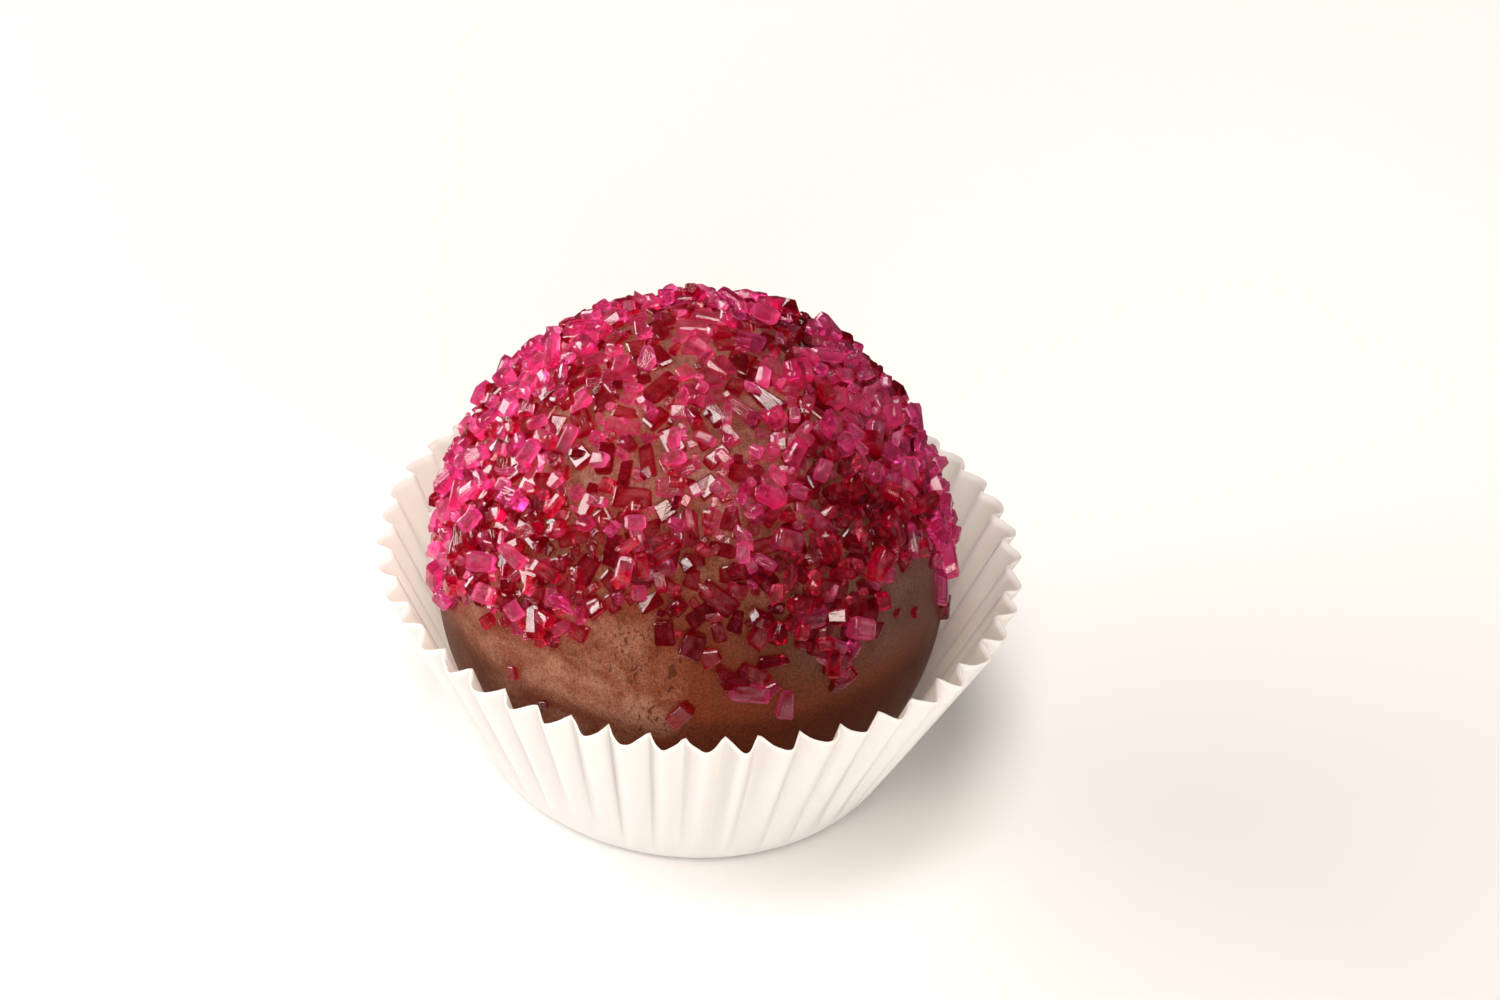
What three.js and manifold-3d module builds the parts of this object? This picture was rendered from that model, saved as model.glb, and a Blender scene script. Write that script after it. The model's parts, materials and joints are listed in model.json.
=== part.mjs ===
// A chocolate truffle with a cap of coarse coloured sugar, sitting in its fluted paper case.
// Millimetres, +Z up. The origin is the centre of the case's underside. The rim of the case is
// a little oval, and its long way is +X.

import * as THREE from "three";
import { mergeVertices } from "three/addons/utils/BufferGeometryUtils.js";
import Module from "manifold-3d";

const wasm = await Module();
wasm.setup();

// ---- Driving dimensions of the paper case ----
const BASE_RADIUS = 12.7; // where the wall's line would meet the table: a 25.4 mm case
const WALL_SLANT = 14.85; // from the base up the wall to the rim, the same on every fold
const RIM_RADIUS_INNER_FOLD = 17.75;
const RIM_RADIUS_OUTER_FOLD = 18.75;
const FLUTES = 48;
const FIRST_FOLD = THREE.MathUtils.degToRad(0.36); // azimuth of one inner fold
const RIM_OVAL = 0.036; // the rim is this share wider along X, and narrower along Y
const PAPER = 0.2; // thickness
const CORNER_RADIUS = 1.2; // soft bend between base and wall
const CORNER_STEPS = 2;
const STEPS_PER_FLUTE = 4;

// ---- Driving dimensions of the truffle ----
const TRUFFLE_RADIUS = 15.3; // across, without the sugar
const TRUFFLE_HALF_HEIGHT = 15.9; // the ball is slightly taller than wide
const TRUFFLE_CENTRE = new THREE.Vector3(-0.5, 0, 12.6); // it leans to one side of the case
const REST_GAP = 0.3; // between the foot and the paper
const FOOT_Z = PAPER + REST_GAP;
const BODY_SEGMENTS = 48;
const BODY_ROWS = 22;

// ---- Driving dimensions of the sugar ----
const GRAINS = 236; // the largest ones, which stand out from a step away
const GRAIN_LENGTH = [1.3, 2.3];
const GRAIN_WIDTH = [0.8, 1.35];
const GRAIN_HEIGHT = [0.7, 1.1];
const GRAIN_SINK = 0.42; // share of a grain's height that is sunk in the chocolate
const GRAIN_TILT = THREE.MathUtils.degToRad(16); // largest lean out of the surface
const GRAIN_CLEARANCE = 0.12; // between two neighbours
const GRAIN_SEED = 24;

// The lower edge of the sugar: [azimuth in degrees, height]. The azimuth is 0 at +X and -90 at the front.
const SUGAR_EDGE = [
  [-165, 13.2],
  [-152, 13.6],
  [-143, 16.0],
  [-122, 16.4],
  [-102, 20.2],
  [-88, 18.7],
  [-70, 18.7],
  [-61, 17.6],
  [-54, 14.4],
  [-45, 16.8],
  [-33, 19.7],
  [-20, 18.2],
  [-8, 14.4],
  [30, 16.4],
  [75, 14.6],
  [115, 16.8],
  [160, 14.4],
];

// Grains that lie alone on the bare chocolate under the edge: [azimuth in degrees, height].
const STRAY_GRAINS = [
  [-89.4, 14.0],
  [-74.8, 15.5],
  [-66.6, 14.3],
  [-14.0, 15.2],
];

const MATERIALS = {
  chocolate: new THREE.MeshStandardMaterial({ color: 0x6e4433, roughness: 0.45, metalness: 0 }),
  paper: new THREE.MeshStandardMaterial({ color: 0xf4efe8, roughness: 0.85, metalness: 0 }),
};

/** A repeatable random number source giving values from 0 to 1. */
function seededRandom(seed) {
  let state = seed;
  return () => {
    state = (state + 0x6d2b79f5) | 0;
    let mixed = Math.imul(state ^ (state >>> 15), 1 | state);
    mixed = (mixed + Math.imul(mixed ^ (mixed >>> 7), 61 | mixed)) ^ mixed;
    return ((mixed ^ (mixed >>> 14)) >>> 0) / 4294967296;
  };
}

// ---- Paper case ----

/** How far out a flute is at a share of its pitch: a sharp fold at 0 and a round lobe at 0.5. */
function fluteWave(share) {
  return Math.abs(Math.sin(Math.PI * share));
}

/**
 * The line that the paper takes from base to rim at one place in a flute, as points
 * [radius, height, share of the slant], with the soft corner first.
 */
function wallLine(share) {
  const rimRadius = THREE.MathUtils.lerp(RIM_RADIUS_INNER_FOLD, RIM_RADIUS_OUTER_FOLD, fluteWave(share));
  const lean = Math.asin((rimRadius - BASE_RADIUS) / WALL_SLANT);
  const turn = Math.PI / 2 - lean;
  const tangent = CORNER_RADIUS * Math.tan(turn / 2);
  const line = [];
  for (let step = 0; step <= CORNER_STEPS; step += 1) {
    const angle = (turn * step) / CORNER_STEPS;
    const radius = BASE_RADIUS - tangent + CORNER_RADIUS * Math.sin(angle);
    const height = CORNER_RADIUS * (1 - Math.cos(angle));
    line.push({ radius, height, slant: height / (WALL_SLANT * Math.cos(lean)), lean: Math.PI / 2 - angle });
  }
  line.push({ radius: rimRadius, height: WALL_SLANT * Math.cos(lean), slant: 1, lean });
  return line;
}

/** The line moved square to itself, outwards or, with a negative distance, inwards. */
function offsetPoint(point, distance) {
  return {
    radius: point.radius + distance * Math.cos(point.lean),
    height: point.height - distance * Math.sin(point.lean),
    slant: point.slant,
  };
}

/** The closed shell of paper: the outside from the centre of the base to the rim, then the inside back down. */
function paperCase() {
  const around = FLUTES * STEPS_PER_FLUTE;
  const positions = [];
  const indices = [];
  const ringSize = 2 * (CORNER_STEPS + 2);
  for (let i = 0; i < around; i += 1) {
    const line = wallLine((i % STEPS_PER_FLUTE) / STEPS_PER_FLUTE);
    const outside = line.map((point) => offsetPoint(point, PAPER / 2));
    const inside = line.map((point) => offsetPoint(point, -PAPER / 2)).reverse();
    const azimuth = FIRST_FOLD + (2 * Math.PI * i) / around;
    for (const point of [...outside, ...inside]) {
      const radius = point.radius * (1 + RIM_OVAL * point.slant * Math.cos(2 * azimuth));
      positions.push(radius * Math.cos(azimuth), radius * Math.sin(azimuth), point.height + PAPER / 2);
    }
  }
  const under = positions.length / 3;
  positions.push(0, 0, 0);
  const floor = under + 1;
  positions.push(0, 0, PAPER);
  for (let i = 0; i < around; i += 1) {
    const here = i * ringSize;
    const next = ((i + 1) % around) * ringSize;
    indices.push(under, next, here);
    indices.push(floor, here + ringSize - 1, next + ringSize - 1);
    for (let k = 0; k < ringSize - 1; k += 1) {
      indices.push(here + k, next + k, next + k + 1);
      indices.push(here + k, next + k + 1, here + k + 1);
    }
  }
  const geometry = new THREE.BufferGeometry();
  geometry.setAttribute("position", new THREE.Float32BufferAttribute(positions, 3));
  geometry.setIndex(indices);
  return geometry;
}

// ---- Truffle ----

/** Share by which the hand-rolled ball is fuller or slacker in one direction. */
function lumpiness(azimuth, height) {
  const fullLowRight = 0.012 * Math.cos(azimuth + 0.6) * Math.max(0, -height);
  const threeSided = 0.006 * Math.cos(3 * azimuth + 1.1) * (1 - height * height);
  return 1 + fullLowRight + threeSided;
}

/** The truffle's surface in a direction, given by azimuth and by the sine of its elevation. */
function bodyPoint(azimuth, sine) {
  const level = Math.sqrt(Math.max(0, 1 - sine * sine));
  const radius = TRUFFLE_RADIUS * level * lumpiness(azimuth, sine);
  return new THREE.Vector3(
    TRUFFLE_CENTRE.x + radius * Math.cos(azimuth),
    TRUFFLE_CENTRE.y + radius * Math.sin(azimuth),
    TRUFFLE_CENTRE.z + TRUFFLE_HALF_HEIGHT * sine,
  );
}

/** The bare ball of chocolate with its flat foot. */
function chocolateBody() {
  const footSine = (FOOT_Z - TRUFFLE_CENTRE.z) / TRUFFLE_HALF_HEIGHT;
  const footAngle = Math.asin(footSine);
  const positions = [];
  const indices = [];
  for (let row = 0; row < BODY_ROWS; row += 1) {
    const elevation = THREE.MathUtils.lerp(footAngle, Math.PI / 2, row / BODY_ROWS);
    for (let i = 0; i < BODY_SEGMENTS; i += 1) {
      positions.push(...bodyPoint((2 * Math.PI * i) / BODY_SEGMENTS, Math.sin(elevation)).toArray());
    }
  }
  const foot = positions.length / 3;
  positions.push(TRUFFLE_CENTRE.x, TRUFFLE_CENTRE.y, FOOT_Z);
  const crown = foot + 1;
  positions.push(TRUFFLE_CENTRE.x, TRUFFLE_CENTRE.y, TRUFFLE_CENTRE.z + TRUFFLE_HALF_HEIGHT);
  const lastRow = (BODY_ROWS - 1) * BODY_SEGMENTS;
  for (let i = 0; i < BODY_SEGMENTS; i += 1) {
    const next = (i + 1) % BODY_SEGMENTS;
    indices.push(foot, next, i);
    indices.push(crown, lastRow + i, lastRow + next);
    for (let row = 0; row < BODY_ROWS - 1; row += 1) {
      const low = row * BODY_SEGMENTS;
      const high = low + BODY_SEGMENTS;
      indices.push(low + i, low + next, high + next);
      indices.push(low + i, high + next, high + i);
    }
  }
  const geometry = new THREE.BufferGeometry();
  geometry.setAttribute("position", new THREE.Float32BufferAttribute(positions, 3));
  geometry.setIndex(indices);
  return geometry;
}

/** Height of the sugar's lower edge at an azimuth in degrees, smooth between the given places. */
function sugarEdge(azimuth) {
  const count = SUGAR_EDGE.length;
  for (let i = 0; i < count; i += 1) {
    const [start, low] = SUGAR_EDGE[i];
    const [end, high] = SUGAR_EDGE[(i + 1) % count];
    const span = (end - start + 360) % 360;
    const along = (azimuth - start + 720) % 360;
    if (along <= span) {
      return THREE.MathUtils.lerp(low, high, THREE.MathUtils.smoothstep(along / span, 0, 1));
    }
  }
  return SUGAR_EDGE[0][1];
}

/** Outward direction of the truffle's surface at a point, as for a smooth ellipsoid. */
function surfaceNormal(point) {
  const from = point.clone().sub(TRUFFLE_CENTRE);
  from.x /= TRUFFLE_RADIUS ** 2;
  from.y /= TRUFFLE_RADIUS ** 2;
  from.z /= TRUFFLE_HALF_HEIGHT ** 2;
  return from.normalize();
}

/** One block of sugar sunk in the surface at a point, turned and tilted by the random source. */
function grain(point, size, random) {
  const normal = surfaceNormal(point);
  const upright = new THREE.Quaternion().setFromUnitVectors(new THREE.Vector3(0, 0, 1), normal);
  const turn = new THREE.Quaternion().setFromAxisAngle(new THREE.Vector3(0, 0, 1), random() * Math.PI);
  const lean = new THREE.Euler((random() - 0.5) * 2 * GRAIN_TILT, (random() - 0.5) * 2 * GRAIN_TILT, 0);
  const geometry = new THREE.BoxGeometry(size.length, size.width, size.height);
  geometry.applyQuaternion(new THREE.Quaternion().setFromEuler(lean));
  geometry.applyQuaternion(turn);
  geometry.applyQuaternion(upright);
  const out = normal.multiplyScalar(size.height * (0.5 - GRAIN_SINK));
  geometry.translate(point.x + out.x, point.y + out.y, point.z + out.z);
  return geometry;
}

/** Places for the grains: an even spiral over the ball, shaken a little, kept above the sugar's edge. */
function grainPlaces(random) {
  const goldenAngle = Math.PI * (3 - Math.sqrt(5));
  const capTop = 1;
  const capBottom = (Math.min(...SUGAR_EDGE.map((place) => place[1])) - TRUFFLE_CENTRE.z) / TRUFFLE_HALF_HEIGHT;
  const places = [];
  for (let i = 0; i < GRAINS; i += 1) {
    const shaken = (i + 0.5 + (random() - 0.5)) / GRAINS;
    const azimuth = i * goldenAngle + (random() - 0.5) * 0.06;
    const point = bodyPoint(azimuth, THREE.MathUtils.lerp(capTop, capBottom, shaken));
    if (point.z > sugarEdge(THREE.MathUtils.radToDeg(azimuth))) {
      places.push(point);
    }
  }
  for (const [azimuth, height] of STRAY_GRAINS) {
    const sine = (height - TRUFFLE_CENTRE.z) / TRUFFLE_HALF_HEIGHT;
    places.push(bodyPoint(THREE.MathUtils.degToRad(azimuth), sine));
  }
  return places;
}

/** Sizes for a number of grains, largest first. */
function grainSizes(count, random) {
  const pick = ([low, high]) => low + (high - low) * random();
  const sizes = [];
  for (let i = 0; i < count; i += 1) {
    sizes.push({ length: pick(GRAIN_LENGTH), width: pick(GRAIN_WIDTH), height: pick(GRAIN_HEIGHT) });
  }
  return sizes.sort((a, b) => b.length * b.width - a.length * a.width);
}

/** A closed geometry as a solid that can be joined to others. */
function toSolid(geometry) {
  const bare = geometry.clone();
  bare.deleteAttribute("normal");
  bare.deleteAttribute("uv");
  const merged = mergeVertices(bare, 1e-4);
  return new wasm.Manifold(
    new wasm.Mesh({
      numProp: 3,
      vertProperties: new Float32Array(merged.attributes.position.array),
      triVerts: new Uint32Array(merged.index.array),
    }),
  );
}

/** The geometry of a joined solid. */
function toGeometry(solid) {
  const mesh = solid.getMesh();
  const geometry = new THREE.BufferGeometry();
  geometry.setAttribute("position", new THREE.BufferAttribute(new Float32Array(mesh.vertProperties), 3));
  geometry.setIndex(new THREE.BufferAttribute(new Uint32Array(mesh.triVerts), 1));
  return geometry;
}

/** The ball with its largest grains of sugar fused on. A grain that would touch a larger one is skipped. */
function sugaredTruffle() {
  const random = seededRandom(GRAIN_SEED);
  const places = grainPlaces(random);
  const sizes = grainSizes(places.length, random);
  const kept = [];
  let solid = toSolid(chocolateBody());
  for (const size of sizes) {
    const point = places.splice(Math.floor(random() * places.length), 1)[0];
    const shape = grain(point, size, random);
    const reach = (size.length + size.width) / 4;
    const crowded = kept.some((other) => {
      return other.point.distanceTo(point) < other.reach + reach + GRAIN_CLEARANCE;
    });
    if (!crowded) {
      kept.push({ point, reach });
      solid = solid.add(toSolid(shape));
    }
  }
  return toGeometry(solid);
}

function namedMesh(name, geometry, material) {
  const mesh = new THREE.Mesh(geometry, material);
  mesh.name = name;
  return mesh;
}

const truffleInCase = new THREE.Group();
truffleInCase.add(namedMesh("paper_case", paperCase(), MATERIALS.paper));
truffleInCase.add(namedMesh("truffle", sugaredTruffle(), MATERIALS.chocolate));

export default truffleInCase;
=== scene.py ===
"""Dresses the chocolate truffle in its paper case: coating, sugar crystals, pleated paper and light.

Lengths are in metres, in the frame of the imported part: +Z up, with the origin at the centre of the
case's underside.
"""

import json
import math

import bmesh
import bpy
import numpy as np
from mathutils import Matrix, Quaternion, Vector

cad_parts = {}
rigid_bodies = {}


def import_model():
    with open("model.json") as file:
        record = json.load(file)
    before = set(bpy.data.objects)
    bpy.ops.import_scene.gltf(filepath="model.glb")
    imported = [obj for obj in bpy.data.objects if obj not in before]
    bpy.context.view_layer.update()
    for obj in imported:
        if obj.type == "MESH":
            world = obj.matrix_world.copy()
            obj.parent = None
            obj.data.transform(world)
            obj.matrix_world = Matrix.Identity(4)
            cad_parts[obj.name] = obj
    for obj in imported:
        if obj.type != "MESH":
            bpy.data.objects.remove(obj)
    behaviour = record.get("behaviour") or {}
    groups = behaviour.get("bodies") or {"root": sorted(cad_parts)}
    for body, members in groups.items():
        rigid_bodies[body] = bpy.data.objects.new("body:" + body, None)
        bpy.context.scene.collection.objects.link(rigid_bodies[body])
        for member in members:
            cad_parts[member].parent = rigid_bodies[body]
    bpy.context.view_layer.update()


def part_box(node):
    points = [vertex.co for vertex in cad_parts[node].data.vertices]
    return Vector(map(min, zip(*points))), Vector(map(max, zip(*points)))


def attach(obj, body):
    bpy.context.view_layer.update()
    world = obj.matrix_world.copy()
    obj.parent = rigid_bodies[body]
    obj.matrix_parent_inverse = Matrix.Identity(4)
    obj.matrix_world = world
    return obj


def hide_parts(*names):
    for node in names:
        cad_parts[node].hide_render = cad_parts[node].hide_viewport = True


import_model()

MM = 0.001

# ---- Paper case ----
BASE_RADIUS = 12.7 * MM
WALL_SLANT = 14.85 * MM
RIM_RADIUS = 18.3 * MM
FOLD_DEPTH = 1.1 * MM
FLUTES = 48
FIRST_FOLD = math.radians(0.36)
RIM_OVAL = 0.036
CORNER_RADIUS = 1.2 * MM
PAPER = 0.1 * MM

# ---- Truffle ----
TRUFFLE_RADIUS = 15.3 * MM
TRUFFLE_HALF_HEIGHT = 15.9 * MM
TRUFFLE_CENTRE = Vector((-0.5, 0.0, 12.6)) * MM
FOOT_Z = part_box("truffle")[0].z

# The lower edge of the sugar: (azimuth in degrees, height). It is 0 degrees at +X and -90 at the front.
SUGAR_EDGE = (
    (-165, 13.2 * MM),
    (-152, 13.6 * MM),
    (-143, 16.0 * MM),
    (-122, 16.4 * MM),
    (-102, 20.2 * MM),
    (-88, 18.7 * MM),
    (-70, 18.7 * MM),
    (-61, 17.6 * MM),
    (-54, 14.4 * MM),
    (-45, 16.8 * MM),
    (-33, 19.7 * MM),
    (-20, 18.2 * MM),
    (-8, 14.4 * MM),
    (30, 16.4 * MM),
    (75, 14.6 * MM),
    (115, 16.8 * MM),
    (160, 14.4 * MM),
)

# ---- Camera ----
CAMERA_ELEVATION = math.radians(38.86)
CAMERA_DISTANCE = 247.5 * MM
CAMERA_TARGET = Vector((2.77, 0.0, 17.75)) * MM
CAMERA_ROLL = math.radians(4.09)
CAMERA_LENS = 100.0
CAMERA_SENSOR = 36.0


# ---------------------------------------------------------------------------
# Node trees
# ---------------------------------------------------------------------------


class Tree:
    """A node tree built one node at a time."""

    def __init__(self, tree):
        self.tree = tree

    def add(self, kind, inputs=None, **settings):
        """Makes a node. An input's value is a number, a colour or an output socket to join to it."""
        node = self.tree.nodes.new(kind)
        for name, value in settings.items():
            setattr(node, name, value)
        for key, value in (inputs or {}).items():
            if isinstance(value, bpy.types.NodeSocket):
                self.tree.links.new(value, node.inputs[key])
            else:
                node.inputs[key].default_value = value
        return node

    def math(self, operation, first, second=0.0, third=0.0):
        node = self.add("ShaderNodeMath", {0: first, 1: second, 2: third}, operation=operation)
        return node.outputs[0]

    def vector(self, operation, inputs):
        """A Vector Math node's two outputs: the vector, and the number for DISTANCE and DOT_PRODUCT."""
        outputs = self.add("ShaderNodeVectorMath", inputs, operation=operation).outputs
        return outputs[0], outputs[1]

    def mapped(self, place, scale, turn=0.0):
        """A place turned about Y and scaled, for a pattern that is slanted or stretched."""
        inputs = {"Vector": place, "Rotation": (0.0, turn, 0.0), "Scale": scale}
        return self.add("ShaderNodeMapping", inputs).outputs[0]

    def noise(self, vector, scale, detail=2.0, roughness=0.5, distortion=0.0):
        """A noise value from 0 to 1 at a place."""
        inputs = {"Vector": vector, "Scale": scale, "Detail": detail, "Roughness": roughness}
        inputs["Distortion"] = distortion
        return self.add("ShaderNodeTexNoise", inputs).outputs[0]

    def ramp(self, value, low, high, to_low=0.0, to_high=1.0):
        """The value stretched from low..high to to_low..to_high, and held at the ends."""
        node = self.add("ShaderNodeMapRange", {0: value, 1: low, 2: high, 3: to_low, 4: to_high})
        node.clamp = True
        return node.outputs[0]

    def blend(self, share, first, second):
        """A colour between two colours."""
        node = self.add("ShaderNodeMix", {0: share, 6: first, 7: second}, data_type="RGBA")
        return node.outputs[2]

    def off_line(self, place, start, end):
        """How far a place is from the line between two points."""
        run = end - start
        away, _ = self.vector("SUBTRACT", {0: place, 1: start})
        _, share = self.vector("DOT_PRODUCT", {0: away, 1: run / run.length_squared})
        nearest, _ = self.vector("SCALE", {0: run, "Scale": self.ramp(share, 0.0, 1.0)})
        return self.vector("DISTANCE", {0: away, 1: nearest})[1]


def shape_tree(name, sizes):
    """A Geometry Nodes tree with a mesh input, a mesh output and one named number for each size."""
    tree = bpy.data.node_groups.new(name, "GeometryNodeTree")
    tree.interface.new_socket("Geometry", in_out="INPUT", socket_type="NodeSocketGeometry")
    for label, value in sizes.items():
        kind = "NodeSocketInt" if isinstance(value, int) else "NodeSocketFloat"
        tree.interface.new_socket(label, in_out="INPUT", socket_type=kind).default_value = value
    tree.interface.new_socket("Geometry", in_out="OUTPUT", socket_type="NodeSocketGeometry")
    build = Tree(tree)
    given = build.add("NodeGroupInput").outputs
    return build, given


def end_tree(build, geometry, material):
    """Ends a tree: instances made real and the material given."""
    real = build.add("GeometryNodeRealizeInstances", {"Geometry": geometry}).outputs[0]
    dressed = build.add("GeometryNodeSetMaterial", {"Geometry": real, "Material": material}).outputs[0]
    build.add("NodeGroupOutput", {"Geometry": dressed})


def grown(source, tree, material, sizes):
    """The plain mesh that a tree makes from a source object, with these sizes given by name."""
    modifier = source.modifiers.new("shape", "NODES")
    modifier.node_group = tree
    for item in tree.interface.items_tree:
        if item.in_out == "INPUT" and item.name in sizes:
            modifier[item.identifier] = sizes[item.name]
    evaluated = source.evaluated_get(bpy.context.evaluated_depsgraph_get())
    mesh = bpy.data.meshes.new_from_object(evaluated)
    source.modifiers.remove(modifier)
    mesh.materials.clear()
    mesh.materials.append(material)
    mesh.polygons.foreach_set("material_index", [0] * len(mesh.polygons))
    return mesh


def new_object(name, mesh):
    made = bpy.data.objects.new(name, mesh)
    bpy.context.scene.collection.objects.link(made)
    return made


def smooth(mesh):
    mesh.polygons.foreach_set("use_smooth", [True] * len(mesh.polygons))
    mesh.update()


# ---------------------------------------------------------------------------
# Materials
# ---------------------------------------------------------------------------


def new_material(name):
    """A material with an empty tree, and its output node."""
    material = bpy.data.materials.new(name)
    material.use_nodes = True
    material.node_tree.nodes.clear()
    build = Tree(material.node_tree)
    output = build.add("ShaderNodeOutputMaterial")
    return material, build, output


def paper_material():
    """Thin white greaseproof paper that lets some light through."""
    material, build, output = new_material("white_paper")
    place = build.add("ShaderNodeTexCoord").outputs["Object"]
    cloud = build.noise(place, 900.0, 3.0)
    fibre = build.noise(place, 6000.0, 2.0)
    tone = build.blend(cloud, (0.93, 0.92, 0.90, 1.0), (0.90, 0.885, 0.86, 1.0))
    bump = build.add("ShaderNodeBump", {"Height": fibre, "Strength": 0.12, "Distance": 0.05 * MM})
    sheet = build.add(
        "ShaderNodeBsdfPrincipled",
        {"Base Color": tone, "Roughness": 0.62, "Normal": bump.outputs[0]},
    )
    sheet.inputs["Specular IOR Level"].default_value = 0.25
    through = build.add("ShaderNodeBsdfTranslucent", {"Color": (0.90, 0.86, 0.81, 1.0)})
    both = build.add("ShaderNodeMixShader", {0: 0.45, 1: sheet.outputs[0], 2: through.outputs[0]})
    build.tree.links.new(both.outputs[0], output.inputs["Surface"])
    return material


# Pale smears of bloom on the coating: their two ends, half width and strength.
SMEARS = (
    (Vector((-7.7, -13.2, 15.3)) * MM, Vector((-1.2, -15.3, 13.3)) * MM, 1.6 * MM, 0.95),
    (Vector((-1.0, -14.3, 18.3)) * MM, Vector((-1.1, -15.1, 15.1)) * MM, 1.1 * MM, 0.55),
    (Vector((-12.5, -9.0, 15.7)) * MM, Vector((-13.0, -8.9, 12.7)) * MM, 1.7 * MM, 1.0),
    # The last smear, low on the left by the rim, is bloom and also painted light over the rim's shadow.
    (Vector((-11.0, -11.1, 11.8)) * MM, Vector((-5.4, -14.5, 11.9)) * MM, 1.6 * MM, 0.85),
)

# Where air bubbles left pits in the coating: the middle of each group and its reach.
PIT_CLUSTERS = (
    (Vector((-3.9, -14.1, 17.4)) * MM, 2.3 * MM),
    (Vector((-6.8, -12.9, 17.2)) * MM, 1.8 * MM),
    (Vector((-1.0, -14.8, 16.6)) * MM, 1.4 * MM),
    (Vector((-1.8, -15.2, 13.4)) * MM, 1.2 * MM),
)


# Places where each region of the coating starts and where it is full, across (X) or up (Z), and how
# far the regions' edges wander.
# Bloom and painted light: paler on the left, facing the window, and higher up, under the lamps above.
BLOOM_AND_LIGHT_LEFT = (-1.5 * MM, -6.0 * MM)
BLOOM_AND_LIGHT_UP = (19.0 * MM, 24.0 * MM)
CROWN_BLOOM_AND_LIGHT_UP = (23.0 * MM, 27.5 * MM)
# Painted shade: darker to the right, away from the window, and darker still higher up on the right.
SHADED_RIGHT = (0.0, 7.0 * MM)
SHADED_RIGHT_UP = (12.5 * MM, 16.5 * MM)
# Painted sheen: a grey reflection painted high on the right.
SHEEN_RIGHT = (6.0 * MM, 12.0 * MM)
SHEEN_UP = (13.0 * MM, 19.0 * MM)
WANDER = 9.0 * MM

BARE_LEFT_TONE = (0.115, 0.024, 0.008, 1.0)
# Painted shade on the right, and more painted shade higher up on the right.
SHADED_RIGHT_TONE = (0.096, 0.020, 0.006, 1.0)
SHADED_RIGHT_UP_TONE = (0.060, 0.021, 0.010, 1.0)
# Bloom tones, low, above and on the crown, which also carry painted light.
BLOOM_AND_LIGHT_LOW_TONE = (0.230, 0.100, 0.061, 1.0)
BLOOM_AND_LIGHT_UP_TONE = (0.180, 0.076, 0.052, 1.0)
CROWN_BLOOM_AND_LIGHT_TONE = (0.250, 0.104, 0.078, 1.0)
# A painted grey sheen, and the painted shade in the pits.
SHEEN_TONE = (0.140, 0.078, 0.066, 1.0)
PIT_SHADE_TONE = (0.060, 0.014, 0.006, 1.0)


def bloom_and_light_cover(build, place, wander, left, upper, clouds):
    """Share of pale tone: bloom and painted light on the left and above, the smears, clouds and dust."""
    cover = build.math("MAXIMUM", left, upper)
    for start, end, reach, strength in SMEARS:
        off_line = build.math("MULTIPLY_ADD", wander, 0.25, build.off_line(place, start, end))
        smear = build.ramp(off_line, reach, 0.3 * reach, 0.0, strength)
        cover = build.math("MAXIMUM", cover, smear)
    dust = build.noise(place, 2600.0, 3.0, 0.65)
    cover = build.math("MULTIPLY", cover, build.ramp(clouds, 0.40, 0.60, 0.25, 1.25))
    return build.math("MULTIPLY", cover, build.ramp(dust, 0.36, 0.62, 0.60, 1.10))


def coating_pits(build, place, wander):
    """From 0 to 1, whether a place is in a pit. The pits are small holes, and only inside the groups."""
    stretched = build.mapped(place, (1.0, 1.0, 0.55), 0.4)
    hole = build.ramp(build.noise(stretched, 2300.0, 1.0, 0.5, 1.5), 0.60, 0.66)
    cluster = 0.0
    for centre, reach in PIT_CLUSTERS:
        _, apart = build.vector("DISTANCE", {0: place, 1: centre})
        apart = build.math("MULTIPLY_ADD", wander, 0.4, apart)
        cluster = build.math("MAXIMUM", cluster, build.ramp(apart, reach, 0.6 * reach))
    return build.math("MULTIPLY", hole, cluster)


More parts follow.
